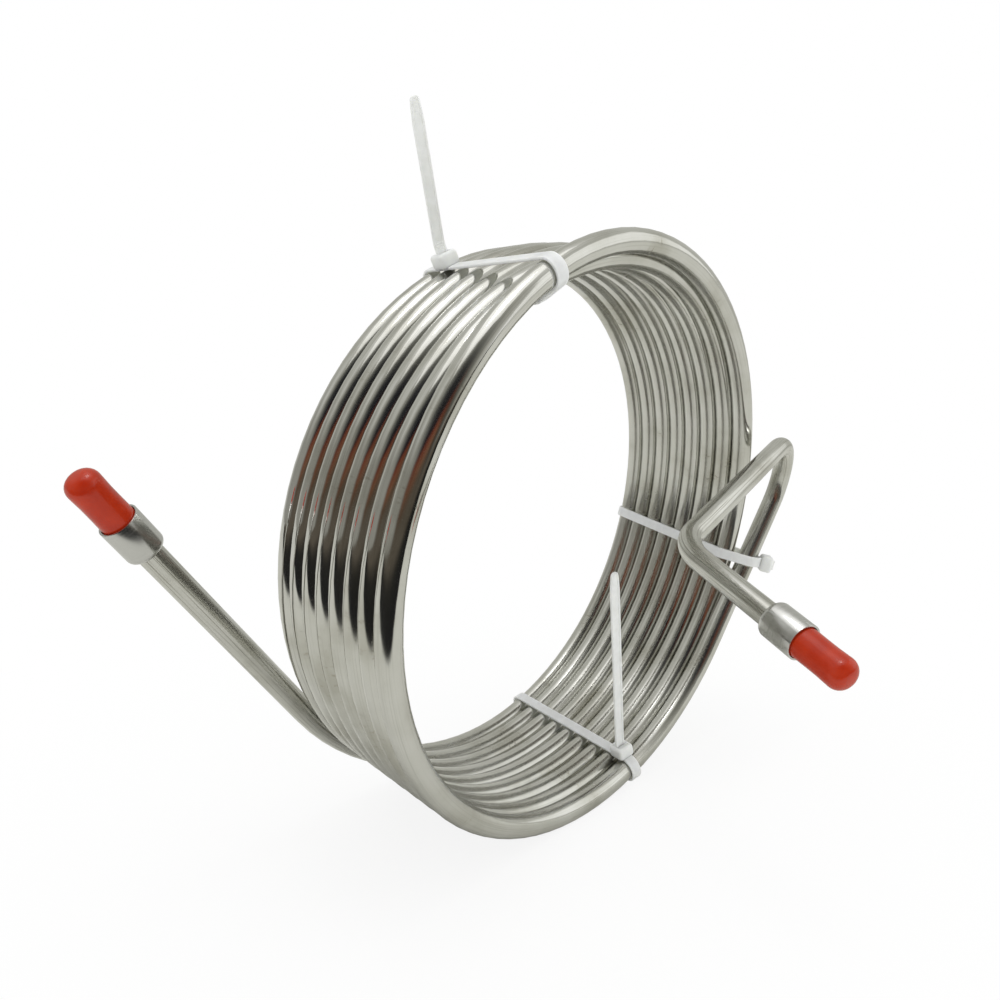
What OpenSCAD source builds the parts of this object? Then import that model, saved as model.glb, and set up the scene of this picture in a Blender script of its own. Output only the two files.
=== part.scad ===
// Immersion wort chiller, wound from one length of 3/8 in stainless tube.
//
// The coil rests on its side. The axis of the stack runs along Y, the outlet
// end faces -Y, and Z is up. The origin is the middle of the flat under the
// middle turn. Each whole turn is two planar half turns that tilt opposite
// ways, so that the tube climbs one pitch a turn. The half turns at the front
// have a slightly smaller radius than those at the back, which is what makes
// the stack lean like a sheared pile of rings.

/* [Tube] */
// Outer diameter of the tube
tube_d = 9.53; // [9:0.01:10.5]
// Wall of the tube
tube_wall = 0.9; // [0.6:0.05:1.5]

/* [Coil] */
// Radius of a turn, measured to the middle of the tube
wind_r = 120; // [100:1:140]
// Gap between one turn and the next
turn_gap = 0.47; // [0.46:0.01:2]
// Whole turns in the stack
full_turns = 8; // [4:1:10]
// Angle by which the turns lean out of square with the stack
turn_lean = 13; // [4:0.5:16]
// Angle of the outlet end of the winding below the level of the axis
outlet_roll = 35; // [25:1:45]
// Winding that follows the last whole turn at the inlet end
inlet_arc = 60; // [50:1:80]
// Depth to which the turns behind the front one sag under the top tie
top_sag = 4.2; // [0:0.1:5]
// Depth of the flats that the coil rests on
flat_depth = 0.95; // [0.85:0.05:1.2]

/* [Inlet leg] */
// Radius to which the winding opens out before the leg
open_r = 137; // [130:1:200]
// Angle of that wider arc
open_angle = 47; // [30:1:60]
// Straight tube from the arc to the open end
inlet_straight = 127.5; // [80:0.5:200]

/* [Outlet leg] */
// Radius of the bender's die, to the middle of the tube
bend_r = 22; // [18:1:28]
// Straight tube that rises from the winding
rise_length = 79.1; // [70:0.1:110]
// Angle by which the first bend turns forward of the coil's own plane
top_plane = 12.9; // [6:0.1:20]
// Angle of the first bend
top_bend = 135.8; // [120:1:145]
// Straight tube across the face of the coil
cross_length = 104.5; // [95:0.1:120]
// Angle between the planes of the two bends
mouth_plane = 90.8; // [75:1:95]
// Angle of the second bend
mouth_bend = 60.5; // [50:1:80]
// Straight tube from the second bend to the open end
outlet_straight = 61; // [45:1:120]

/* [Collars] */
// Length of a collar
collar_length = 16; // [12:0.5:24]
// Wall of a collar round its mouth
collar_wall = 0.75; // [0.6:0.05:1.5]
// Radius of the rounded shoulder at the back of a collar
shoulder_r = 2.2; // [1:0.1:2.4]
// Depth of the mouth that takes the cap
mouth_depth = 8; // [5:0.5:10]
// Length of tube that stands out of the mouth
nose_length = 6; // [3:0.5:10]
// Gap between tube and collar, filled by the brazing
braze_gap = 0.05; // [0.02:0.01:0.1]

/* [Caps] */
// Wall of a cap
cap_wall = 1.2; // [1:0.05:2]
// Gap between a cap's bore and the tube
cap_fit = 0.1; // [0.05:0.01:0.2]
// Gap between a cap and the mouth of its collar
mouth_gap = 0.25; // [0.2:0.05:0.5]
// Reach of a cap past the mouth of its collar
cap_reach = 21; // [14:0.5:40]
// Radius of the rounded edge at the tip of a cap
cap_round = 4.5; // [2.5:0.1:4.5]

/* [Ties] */
// Width of the strap
tie_w = 5; // [3.6:0.1:6]
// Thickness of the strap
tie_t = 1.2; // [0.8:0.1:1.6]
// Gap between a strap and the tubes that it binds
tie_gap = 0.35; // [0.2:0.05:0.5]
// Length of the head along the strap
head_l = 8.5; // [5:0.5:9]
// Width of the head across the strap
head_w = 8.4; // [6.4:0.1:9]
// Height of the head over the strap
head_h = 6; // [3.5:0.5:7]
// Gap between the tail and the slot in the head
slot_gap = 0.35; // [0.2:0.05:0.5]
// Inner radius of the bend in a tail, above the head
tail_r = 9; // [5:0.5:20]
// Length of the tapered tip of a tail
tip_l = 9; // [5:0.5:14]
// Width of that tip at its end
tip_w = 2.6; // [1.5:0.1:3.4]

/* [Top tie] */
// Angle round the axis, from +X toward +Z
top_angle = 115; // [100:1:130]
// Skew of the strap across the turns
top_skew = -2.5; // [-4:0.5:4]
// Distance of the head from the back end of the strap
top_head = 12; // [0:0.5:30]
// Angle by which the tail leans forward
top_lean = 21.5; // [5:0.5:40]
// Straight length of the tail
top_tail = 53; // [20:1:60]

/* [Bottom tie] */
// Angle round the axis, from +X toward +Z
bottom_angle = -74; // [-85:0.5:-65]
// Skew of the strap across the turns
bottom_skew = 3.5; // [-5:0.5:5]
// Distance of the head from the front end of the strap
bottom_head = 2.5; // [0:0.5:30]
// Angle by which the tail leans forward
bottom_lean = 13; // [5:0.5:30]
// Straight length of the tail
bottom_tail = 95; // [20:1:100]

/* [Side tie] */
// Angle round the axis, from +X toward +Z
side_angle = -12; // [-18:0.5:-2]
// Skew of the strap across the turns
side_skew = 8.5; // [0:0.5:9]
// Angle of the head round the rising tube, from the outer side to the front
side_turn = 50; // [0:1:80]
// Length of tail that was left when it was trimmed
side_stub = 1.5; // [1:0.5:6]

/* [Hidden] */
$fn = 48;

steel = [0.74, 0.74, 0.71];
machined = [0.66, 0.66, 0.66];
red = [0.85, 0.19, 0.11];
nylon = [0.87, 0.87, 0.84];

// Frames are 4 x 4 matrices: three axes and an origin, as columns.
function shift(v) = [[1, 0, 0, v[0]], [0, 1, 0, v[1]], [0, 0, 1, v[2]], [0, 0, 0, 1]];
function about_x(a) = [[1, 0, 0, 0], [0, cos(a), -sin(a), 0],
                       [0, sin(a), cos(a), 0], [0, 0, 0, 1]];
function about_y(a) = [[cos(a), 0, sin(a), 0], [0, 1, 0, 0],
                       [-sin(a), 0, cos(a), 0], [0, 0, 0, 1]];
function about_z(a) = [[cos(a), -sin(a), 0, 0], [sin(a), cos(a), 0, 0],
                       [0, 0, 1, 0], [0, 0, 0, 1]];
function column(m, i) = [m[0][i], m[1][i], m[2][i]];
function frame_of(x, z, origin) =
    let (y = cross(z, x))
    [[x[0], y[0], z[0], origin[0]], [x[1], y[1], z[1], origin[1]],
     [x[2], y[2], z[2], origin[2]], [0, 0, 0, 1]];
function to_world(m, p) =
    column(m, 3) + p[0] * column(m, 0) + p[1] * column(m, 1) + p[2] * column(m, 2);
function to_local(m, p) =
    let (q = p - column(m, 3))
    [q * column(m, 0), q * column(m, 1), q * column(m, 2)];

// ---------------------------------------------------------------- coil

bore_d = tube_d - 2 * tube_wall;
turn_pitch = tube_d + turn_gap;
last_half = 2 * full_turns;
middle_half = 2 * floor(full_turns / 2);

// Half turns with an even number pass under the axis, the odd ones over it.
even_r = wind_r - turn_pitch / 4 * tan(turn_lean);
odd_r = wind_r + turn_pitch / 4 * tan(turn_lean);
even_tilt = asin(turn_pitch / 4 / even_r);
odd_tilt = asin(turn_pitch / 4 / odd_r);
half_shift = odd_r * cos(odd_tilt) - even_r * cos(even_tilt);
stack_angle = atan2(2 * half_shift, turn_pitch);

// Where the middle turn meets the ground, seen from its own centre.
foot_angle = stack_angle - even_tilt;
foot_normal = [sin(foot_angle) * cos(outlet_roll), -cos(foot_angle),
               -sin(foot_angle) * sin(outlet_roll)];
foot = even_r * (foot_normal[2] * foot_normal - [0, 0, 1]) / sqrt(1 - pow(foot_normal[2], 2))
     - [0, 0, tube_d / 2];

coil_frame = shift([-foot[0], -foot[1], -foot[2] - flat_depth])
           * about_y(outlet_roll) * about_x(90) * about_y(stack_angle);

function half_r(k) = k % 2 == 0 ? even_r : odd_r;
function half_frame(k) = coil_frame
    * shift([(k - middle_half) * half_shift, 0, (middle_half - k) * turn_pitch / 2])
    * about_y(k % 2 == 0 ? -even_tilt : odd_tilt)
    * about_z(k % 2 == 0 ? 180 : 0);
function half_from(k) = k == last_half ? 180 - inlet_arc : 0;

// The top tie has pulled the second and third turns in, the next two less so,
// and the front turn rides up a little. The sag dies out to both sides of it.
sag_at = 105;
sag_reach = 60;
function sag_share(turn) =
    turn == 1 ? -0.24 : max(0, 1 - max(0, turn - 5) / 5);
function sag(k, a) =
    let (at = (720 + a - outlet_roll + (k % 2 == 0 ? 180 : 0)) % 360,
         t = min(1, abs(at - sag_at) / sag_reach))
    top_sag * sag_share(k % 2 == 0 ? k + 1 : k) * pow(cos(90 * t), 2);
function turn_r(k, a) = half_r(k) - sag(k, a);
function on_half(k, a) = to_world(half_frame(k), turn_r(k, a) * [cos(a), sin(a), 0]);

// ---------------------------------------------------------------- legs

// A straight of one length and then a bend, as a tube bender makes them.
function bend_centre(frame, length, plane, r) =
    frame * shift([0, 0, length]) * about_z(plane) * shift([r, 0, 0]);
function after_bend(frame, length, plane, r, angle) =
    bend_centre(frame, length, plane, r) * about_y(angle) * shift([-r, 0, 0]);

wind_end = 180 - inlet_arc;
open_centre = half_frame(last_half)
            * shift((even_r - open_r) * [cos(wind_end), sin(wind_end), 0]);
inlet_leg = open_centre * about_z(wind_end - open_angle)
          * shift([open_r, 0, 0]) * about_x(90);

outlet_start = half_frame(0) * about_z(180) * shift([even_r, 0, 0]) * about_x(-90);
outlet_cross = after_bend(outlet_start, rise_length, 180 + top_plane, bend_r, top_bend);
outlet_leg = after_bend(outlet_cross, cross_length, mouth_plane, bend_r, mouth_bend);

// Frames at the back of each collar, with Z toward the open end.
collar_set = collar_length + nose_length;
inlet_end = inlet_leg * shift([0, 0, inlet_straight - collar_set]);
outlet_end = outlet_leg * shift([0, 0, outlet_straight - collar_set]);

// Rings that the tube's skin is drawn through: a centre and two axes across
// the tube. The first axis points away from the axis of the coil. The rings
// stand ring_step apart, and two of them straddle the foot of every turn, so
// that each flat on the ground is one long facet.
ring_step = 10;
bend_step = 15;
sides_out = 8;
sides_in = 6;

foot_at = atan2(-half_frame(0)[2][1], -half_frame(0)[2][0]);
foot_roll = atan2(-foot_normal[2], sqrt(1 - pow(foot_normal[2], 2)));
first_at = foot_at + ring_step / 2 - ring_step * floor((foot_at + ring_step / 2) / ring_step);

function arc_ring(f, r, a) =
    let (x = cos(a) * column(f, 0) + sin(a) * column(f, 1))
    [column(f, 3) + r * x, x, column(f, 2)];
function inlet_ring(z) =
    [to_world(inlet_leg, [0, 0, z]), column(inlet_leg, 0), column(inlet_leg, 1)];
function outlet_ring(f, roll) =
    let (g = f * about_z(-roll))
    [column(g, 3), column(g, 0), -column(g, 1)];
function spaced(angle, step) =
    let (n = ceil(angle / step))
    [for (i = [0 : n]) angle * i / n];
function bend_rings(frame, length, plane, angle, roll) =
    [for (a = spaced(angle, bend_step))
        outlet_ring(after_bend(frame, length, plane, bend_r, a), roll)];

top_roll = 180 + top_plane;
rings = [
    inlet_ring(inlet_straight),
    for (a = spaced(open_angle, ring_step))
        arc_ring(open_centre, open_r, wind_end - open_angle + a),
    for (k = [last_half : -1 : 0], a = [first_at : ring_step : 180])
        if (a > half_from(k) + (k == last_half ? 2 : 0) && a < (k == 0 ? 178 : 180))
            arc_ring(half_frame(k), turn_r(k, a), a),
    arc_ring(half_frame(0), even_r, 180),
    each bend_rings(outlet_start, rise_length, top_roll, top_bend, top_roll),
    each bend_rings(outlet_cross, cross_length, mouth_plane, mouth_bend,
                    top_roll + mouth_plane),
    outlet_ring(outlet_leg * shift([0, 0, outlet_straight]), top_roll + mouth_plane)];

function ring_points(ring, d, sides) =
    [for (j = [0 : sides - 1])
        let (a = foot_roll + (j + 0.5) * 360 / sides)
        ring[0] + d / 2 * (cos(a) * ring[1] + sin(a) * ring[2])];

// A band of triangles through all the rings, whose points start at "first".
function skin(first, sides, inward) =
    [for (i = [0 : len(rings) - 2], j = [0 : sides - 1])
        let (a = first + i * sides + j,
             b = first + i * sides + (j + 1) % sides,
             c = a + sides,
             d = b + sides)
        each inward ? [[a, d, b], [a, c, d]] : [[a, b, d], [a, d, c]]];

// The end face between the outer ring at "o" and the bore's ring at "n".
function rim(o, n, start) =
    [for (i = [0 : sides_out - 1])
        let (i2 = (i + 1) % sides_out,
             p = round((i + 0.5) * sides_in / sides_out - 0.5) % sides_in,
             q = round((i + 1.5) * sides_in / sides_out - 0.5) % sides_in)
        each [start ? [o + i, n + p, o + i2] : [o + i, o + i2, n + p],
              if (p != q)
                  start ? [o + i2, n + p, n + q] : [o + i2, n + q, n + p]]];

// One unbroken, hollow tube, with its points pressed up level with the ground.
module coil_tube() {
    last = len(rings) - 1;
    outside = [for (ring = rings, p = ring_points(ring, tube_d, sides_out))
        [p[0], p[1], max(p[2], 0)]];
    inside = [for (ring = rings) each ring_points(ring, bore_d, sides_in)];
    n = len(outside);
    color(steel)
        polyhedron(
            points = concat(outside, inside),
            faces = concat(
                skin(0, sides_out, false),
                skin(n, sides_in, true),
                rim(0, n, true),
                rim(last * sides_out, n + last * sides_in, false)));
}

// ---------------------------------------------------------------- collars

cap_r = tube_d / 2 + cap_fit + cap_wall;
mouth_r = cap_r + mouth_gap;
collar_r = mouth_r + collar_wall;

// A socket brazed over the tube: a tight neck behind, an open mouth ahead.
module collar(frame) {
    color(machined)
        multmatrix(frame)
            rotate_extrude()
                difference() {
                    union() {
                        square([collar_r - shoulder_r, collar_length]);
                        translate([0, shoulder_r])
                            square([collar_r, collar_length - shoulder_r]);
                        translate([collar_r - shoulder_r, shoulder_r])
                            circle(r = shoulder_r);
                    }
                    translate([0, -1])
                        square([tube_d / 2 + braze_gap, collar_length + 2]);
                    translate([0, collar_length - mouth_depth])
                        square([mouth_r, mouth_depth + 1]);
                }
}

module inlet_collar() collar(inlet_end);
module outlet_collar() collar(outlet_end);

// ---------------------------------------------------------------- caps

module round_ended(r, height, edge) {
    square([r, height - edge]);
    square([r - edge, height]);
    translate([r - edge, height - edge])
        intersection() {
            circle(r = edge);
            square(edge);
        }
}

// A dipped cap: pushed over the tube and into the mouth, closed at its tip.
module cap(frame) {
    base = collar_length - mouth_depth + mouth_gap;
    tip = collar_length + cap_reach;
    color(red)
        multmatrix(frame * shift([0, 0, base]))
            rotate_extrude()
                difference() {
                    round_ended(cap_r, tip - base, cap_round);
                    translate([0, -1])
                        round_ended(cap_r - cap_wall, tip - base - cap_wall + 1,
                                    cap_round - cap_wall);
                }
}

module inlet_cap() cap(inlet_end);
module outlet_cap() cap(outlet_end);

// ---------------------------------------------------------------- ties

// The plane of a tie: X outward from the axis, Y along the stack, Z across.
function tie_plane(angle, skew) =
    shift(column(coil_frame, 3)) * about_y(-angle) * about_x(skew);

// Angle at which half turn k passes through the plane, on its outer side.
function crossing_angle(plane, k) =
    let (f = half_frame(k),
         m = column(plane, 2),
         a = m * column(f, 0),
         b = m * column(f, 1),
         d = m * (column(plane, 3) - column(f, 3)),
         turn = acos(d / (half_r(k) * norm([a, b]))),
         t = atan2(b, a) + turn,
         u = atan2(b, a) - turn)
    to_local(plane, on_half(k, t))[0] > 0 ? t : u;
function half_crossing(plane, k) =
    to_local(plane, on_half(k, crossing_angle(plane, k)));
function line_crossing(plane, line) =
    let (m = column(plane, 2),
         t = m * (column(plane, 3) - column(line, 3)) / (m * column(line, 2)))
    to_local(plane, to_world(line, [0, 0, t]));

// Slant of the tube in that plane, which the strap must clear on both edges.
function crossing_slant(plane, k) =
    let (f = half_frame(k),
         a = crossing_angle(plane, k),
         along = cos(a) * column(f, 1) - sin(a) * column(f, 0))
    acos(abs(along * column(plane, 2)));
function strap_r(slant) = tube_d / 2 / cos(slant) + tie_gap;
function strap_slack(slant) = tie_w / 2 * tan(slant);

// The same for a straight tube, whose slack goes outward and to the front.
function line_in(plane, line) =
    let (v = column(line, 2))
    [v * column(plane, 0), v * column(plane, 1), v * column(plane, 2)];
function line_slant(plane, line) = acos(abs(line_in(plane, line)[2]));
function line_slack(plane, line) =
    let (v = line_in(plane, line) / line_in(plane, line)[2],
         slope = norm([v[0], v[1]]),
         stretch = tube_d / 2 * (1 / cos(line_slant(plane, line)) - 1))
    (tie_w / 2 + stretch / slope) * [abs(v[0]), -abs(v[1])];

// Corners of the strap's run round half turns from "near" to "far".
function strap_corners(plane, near, far) =
    let (slack = [0, strap_slack(crossing_slant(plane, near))],
         p = half_crossing(plane, near),
         q = half_crossing(plane, far))
    [[p[0], p[1]] - slack, [q[0], q[1]] + slack];

function outward(p, q) = let (u = (q - p) / norm(q - p)) [u[1], -u[0]];

module strap_area(corners, r) {
    n = len(corners);
    polygon([for (i = [0 : n - 1])
        let (p = corners[i], q = corners[(i + 1) % n])
        each [p + r * outward(p, q), q + r * outward(p, q)]]);
    for (p = corners)
        translate(p)
            circle(r = r);
}

module strap(plane, corners, r) {
    multmatrix(plane)
        linear_extrude(height = tie_w, center = true)
            difference() {
                strap_area(corners, r + tie_t);
                strap_area(corners, r);
            }
}

// Frame on the strap's run from p to q, for a tail that leans along the run
// (side 1) or back against it (side -1). Z points away from the tubes. With a
// "turn", it goes that far round the corner that the strap makes at p.
function head_frame(plane, p, q, r, at, side, turn = 0) =
    let (e = (q - p) / norm(q - p),
         u = [e[0] * cos(turn) + e[1] * sin(turn), e[1] * cos(turn) - e[0] * sin(turn)],
         w = [u[1], -u[0]],
         o = p + at * u + (r + tie_t / 2) * w)
    frame_of(side * (column(plane, 0) * u[0] + column(plane, 1) * u[1]),
             column(plane, 0) * w[0] + column(plane, 1) * w[1],
             to_world(plane, [o[0], o[1], 0]));

// The head, with its corners cut, and the slot that the tail comes out of.
module head(frame) {
    cut = head_h / 5;
    multmatrix(frame)
        difference() {
            rotate([90, 0, 0])
                linear_extrude(height = head_w, center = true)
                    polygon([[-head_l / 2, 0], [head_l / 2, 0],
                             [head_l / 2, head_h - cut], [head_l / 2 - cut, head_h],
                             [cut - head_l / 2, head_h], [-head_l / 2, head_h - cut]]);
            translate([-tie_t / 2 - slot_gap, -tie_w / 2 - slot_gap, tie_t / 2 + slot_gap])
                cube([tie_t + 2 * slot_gap, tie_w + 2 * slot_gap, head_h]);
        }
}

// A tail that leaves the head square, bends over and ends in a tapered tip.
// The frame's X points the way it leans, and its Z away from the tubes.
module tail(frame, lean, length) {
    root = head_h + tie_t;
    centre = [tail_r + tie_t / 2, root];
    steps = 6;
    function on_bend(r, a) = centre + r * [-cos(a), sin(a)];
    function past_bend(r, z) = on_bend(r, lean) + z * [sin(lean), cos(lean)];
    straight_part = length - tip_l;
    tip = past_bend(centre[0], straight_part);
    multmatrix(frame)
        difference() {
            rotate([90, 0, 0])
                linear_extrude(height = tie_w, center = true)
                    polygon([
                        [-tie_t / 2, 0],
                        for (i = [0 : steps]) on_bend(tail_r + tie_t, lean * i / steps),
                        past_bend(tail_r + tie_t, length),
                        past_bend(tail_r, length),
                        for (i = [steps : -1 : 0]) on_bend(tail_r, lean * i / steps),
                        [tie_t / 2, 0]]);
            for (side = [-1, 1])
                translate([tip[0], 0, tip[1]])
                    rotate([0, lean, 0])
                        rotate([90, 0, 90])
                            linear_extrude(height = 2 * tie_t, center = true)
                                polygon([[side * tie_w / 2, 0],
                                         [side * tip_w / 2, tip_l + 0.1],
                                         [side * tie_w, tip_l + 0.1], [side * tie_w, 0]]);
        }
}

// The stump of a tail that was cut off at the head.
module stub(frame, length) {
    multmatrix(frame)
        translate([-tie_t / 2, -tie_w / 2, 0])
            cube([tie_t, tie_w, length]);
}

module top_tie() {
    plane = tie_plane(top_angle, top_skew);
    turns = strap_corners(plane, 1, last_half - 1);
    slack = [0, strap_slack(crossing_slant(plane, 3))];
    second = half_crossing(plane, 3);
    third = half_crossing(plane, 5);
    corners = [turns[0], turns[1], [third[0], third[1]], [second[0], second[1]] - slack];
    r = strap_r(crossing_slant(plane, 1));
    run = norm(corners[1] - corners[0]);
    seat = head_frame(plane, corners[0], corners[1], r, run - top_head, -1);
    color(nylon) {
        strap(plane, corners, r);
        head(seat);
        tail(seat, top_lean, top_tail);
    }
}

module bottom_tie() {
    plane = tie_plane(bottom_angle, bottom_skew);
    corners = strap_corners(plane, 0, last_half);
    r = strap_r(crossing_slant(plane, 0));
    run = norm(corners[1] - corners[0]);
    seat = head_frame(plane, corners[1], corners[0], r, run - bottom_head, 1);
    color(nylon) {
        strap(plane, corners, r);
        head(seat);
        tail(seat, bottom_lean, bottom_tail);
    }
}

// The tie that also holds the rising tube against the front of the stack.
module side_tie() {
    plane = tie_plane(side_angle, side_skew);
    turns = strap_corners(plane, 1, last_half - 1);
    rise = line_crossing(plane, outlet_start);
    slack = line_slack(plane, outlet_start);
    corners = [[rise[0] + slack[0], rise[1] + slack[1]], turns[1], turns[0],
               [rise[0] - slack[0], rise[1] + slack[1]]];
    r = strap_r(crossing_slant(plane, 1));
    seat = head_frame(plane, corners[0], corners[1], r, 0, -1, side_turn);
    color(nylon) {
        strap(plane, corners, r);
        head(seat);
        stub(seat, head_h + side_stub);
    }
}

// ---------------------------------------------------------------- gap

// Distance from a point to half turn k, which ends where the arc ends.
function to_half(p, k) =
    let (q = to_local(half_frame(k), p),
         a = atan2(q[1], q[0]),
         near = q[0] > 0 ? 0 : 180,
         t = max(half_from(k), a < 0 ? near : a))
    norm([q[0] - turn_r(k, t) * cos(t), q[1] - turn_r(k, t) * sin(t), q[2]]);

wound = [for (k = [0 : last_half - 2], a = [0 : 3 : 180], j = [k + 2 : last_half])
    to_half(on_half(k, a), j)];
opened = [for (a = [0 : 3 : open_angle], k = [0 : last_half - 1])
    to_half(to_world(open_centre, open_r * [cos(wind_end - a), sin(wind_end - a), 0]), k)];
rising = [for (z = [0 : 2 : rise_length], k = [1 : last_half])
    to_half(to_world(outlet_start, [0, 0, z]), k)];
crossing = [for (z = [0 : 2 : cross_length], k = [0 : last_half])
    to_half(to_world(outlet_cross, [0, 0, z]), k)];
ending = [for (z = [0 : 2 : outlet_straight], k = [0 : last_half])
    to_half(to_world(outlet_leg, [0, 0, z]), k)];
least_gap = min(min(wound), min(opened), min(rising), min(crossing), min(ending)) - tube_d;
echo(str("Least gap from the tube to itself: ", least_gap, " mm"));

coil_tube();
inlet_collar();
outlet_collar();
inlet_cap();
outlet_cap();
top_tie();
bottom_tie();
side_tie();
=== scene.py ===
"""Looks for an immersion wort chiller: a coil of stainless tube on its side,
with a brazed collar and a dipped vinyl cap on each end, held by nylon ties."""
import math

import bmesh
import bpy
from mathutils import Matrix, Vector


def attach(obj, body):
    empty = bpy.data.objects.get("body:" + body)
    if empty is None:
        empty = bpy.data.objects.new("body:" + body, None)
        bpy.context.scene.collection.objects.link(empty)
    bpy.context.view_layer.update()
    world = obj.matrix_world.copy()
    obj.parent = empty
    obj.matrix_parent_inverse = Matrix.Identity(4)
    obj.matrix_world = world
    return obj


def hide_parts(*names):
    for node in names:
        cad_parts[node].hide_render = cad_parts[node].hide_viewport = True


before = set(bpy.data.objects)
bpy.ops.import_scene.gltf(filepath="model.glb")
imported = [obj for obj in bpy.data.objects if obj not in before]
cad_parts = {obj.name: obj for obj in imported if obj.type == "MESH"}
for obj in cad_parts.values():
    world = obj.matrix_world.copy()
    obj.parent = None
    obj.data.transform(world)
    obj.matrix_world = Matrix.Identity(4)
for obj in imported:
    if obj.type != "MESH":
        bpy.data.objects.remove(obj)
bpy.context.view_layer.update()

# ------------------------------------------ sizes in mm, and angles in degrees

# The coil: half turns of two radii in a stack that leans and is rolled over.
TUBE_D = 9.53
TUBE_WALL = 0.9
WIND_R = 120
TURN_GAP = 0.47
FULL_TURNS = 8
TURN_LEAN = 13
OUTLET_ROLL = 35
INLET_ARC = 60
# The top tie's pull: how deep, where round the coil and how far to each side.
# It is full up to half turn 5 and fades over five more. The front turn rises,
# by a share of it.
TOP_SAG = 4.2
SAG_ANGLE = 105
SAG_WIDTH = 60
SAG_FULL = 5
SAG_FADE = 5
FRONT_SHARE = -0.24
# The flats that the turns stand on, and the wall that is left over them.
FLAT_DEPTH = 0.95
FLAT_WALL = 0.45
# The inlet leg opens out of the last turn and then runs straight.
OPEN_R = 137
OPEN_ANGLE = 47
INLET_STRAIGHT = 127.5
# The outlet leg, as a bender's program: length, turn of the plane, bend.
BEND_R = 22
RISE_LENGTH = 79.1
TOP_PLANE = 12.9
TOP_BEND = 135.8
CROSS_LENGTH = 104.5
MOUTH_PLANE = 90.8
MOUTH_BEND = 60.5
OUTLET_STRAIGHT = 61
# The collars, and the tube's nose inside them.
COLLAR_LENGTH = 16
COLLAR_WALL = 0.75
SHOULDER_R = 2.2
COLLAR_EDGE = 0.2
MOUTH_EDGE = 0.15
MOUTH_DEPTH = 8
BRAZE_GAP = 0.05
NOSE_LENGTH = 6
# The caps, and how far one reaches out of its collar.
CAP_WALL = 1.2
CAP_FIT = 0.1
MOUTH_GAP = 0.25
CAP_REACH = 21
CAP_ROUND = 4.5
CAP_BEAD = 0.3
# Height over the collar's mouth, and how much slimmer a cap is there.
CAP_WAIST = ((1.0, 0.0), (6, 0.12), (11, 0.16), (CAP_REACH - CAP_ROUND - 2, 0.05))
# The ties: strap, head with its slot, and the tail's bend and tip.
TIE_W = 5
TIE_T = 1.2
TIE_ROUND = 12  # once round the strap's section
TIE_GAP = 0.15
TOOTH = 1.1
TOOTH_DEPTH = 0.16
HEAD_L = 8.5
HEAD_W = 8.4
HEAD_H = 6
HEAD_EDGE = 1.5
SLOT_EDGE = 0.25
SLOT_DEPTH = 0.6
TAIL_ROOT = 0.5
TAIL_R = 9
TIP_L = 9
# How fine the meshes are: sides, mm along a straight, degrees round a bend.
TUBE_SIDES = 28
LATHE_SIDES = 56
STRAIGHT_STEP = 20
WIND_STEP = 4
BEND_STEP = 5
TAIL_STEP = 3


# ----------------------------------------------------------------- the layout

def shift(x, y, z):
    return Matrix.Translation((x, y, z))


def about(axis, degrees):
    return Matrix.Rotation(math.radians(degrees), 4, axis)


def column(m, i):
    return m.col[i].xyz


def turning(f, axis, degrees):
    """A turn round one of the frame's own axes, 0 to 2."""
    centre = column(f, 3)
    return (Matrix.Translation(centre)
            @ Matrix.Rotation(math.radians(degrees), 4, column(f, axis))
            @ Matrix.Translation(-centre))


PITCH = TUBE_D + TURN_GAP
LAST_HALF = 2 * FULL_TURNS
MIDDLE_HALF = 2 * (FULL_TURNS // 2)
LEAN = math.tan(math.radians(TURN_LEAN))
RADII = (WIND_R - PITCH / 4 * LEAN, WIND_R + PITCH / 4 * LEAN)
TILTS = tuple(math.degrees(math.asin(PITCH / 4 / r)) for r in RADII)
HALF_SHIFT = (RADII[1] * math.cos(math.radians(TILTS[1]))
              - RADII[0] * math.cos(math.radians(TILTS[0])))
STACK_ANGLE = math.degrees(math.atan2(2 * HALF_SHIFT, PITCH))


def coil_frame():
    """The stack's frame, set down so that the middle turn meets the ground."""
    a, roll = math.radians(STACK_ANGLE - TILTS[0]), math.radians(OUTLET_ROLL)
    normal = Vector((math.sin(a) * math.cos(roll), -math.cos(a),
                     -math.sin(a) * math.sin(roll)))
    foot = (RADII[0] * (normal.z * normal - Vector((0, 0, 1)))
            / math.sqrt(1 - normal.z ** 2) - Vector((0, 0, TUBE_D / 2)))
    return (shift(-foot.x, -foot.y, -foot.z - FLAT_DEPTH)
            @ about("Y", OUTLET_ROLL) @ about("X", 90) @ about("Y", STACK_ANGLE))


COIL = coil_frame()


def half_frame(k):
    """The plane of half turn k, counted from the front. Odd ones are wider."""
    return (COIL @ shift((k - MIDDLE_HALF) * HALF_SHIFT, 0, (MIDDLE_HALF - k) * PITCH / 2)
            @ about("Y", TILTS[1] if k % 2 else -TILTS[0])
            @ about("Z", 0 if k % 2 else 180))


def sag(k, a):
    """How far the top tie has pulled half turn k in toward the axis at angle a."""
    turn = k if k % 2 else k + 1
    share = FRONT_SHARE if turn == 1 else max(0, 1 - max(0, turn - SAG_FULL) / SAG_FADE)
    at = (a - OUTLET_ROLL + (0 if k % 2 else 180)) % 360
    aside = min(1, abs(at - SAG_ANGLE) / SAG_WIDTH)
    return TOP_SAG * share * math.cos(math.pi / 2 * aside) ** 2


def bend_centre(f, length, plane):
    return f @ shift(0, 0, length) @ about("Z", plane) @ shift(BEND_R, 0, 0)


def after_bend(f, length, plane, angle):
    return bend_centre(f, length, plane) @ about("Y", angle) @ shift(-BEND_R, 0, 0)


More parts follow.
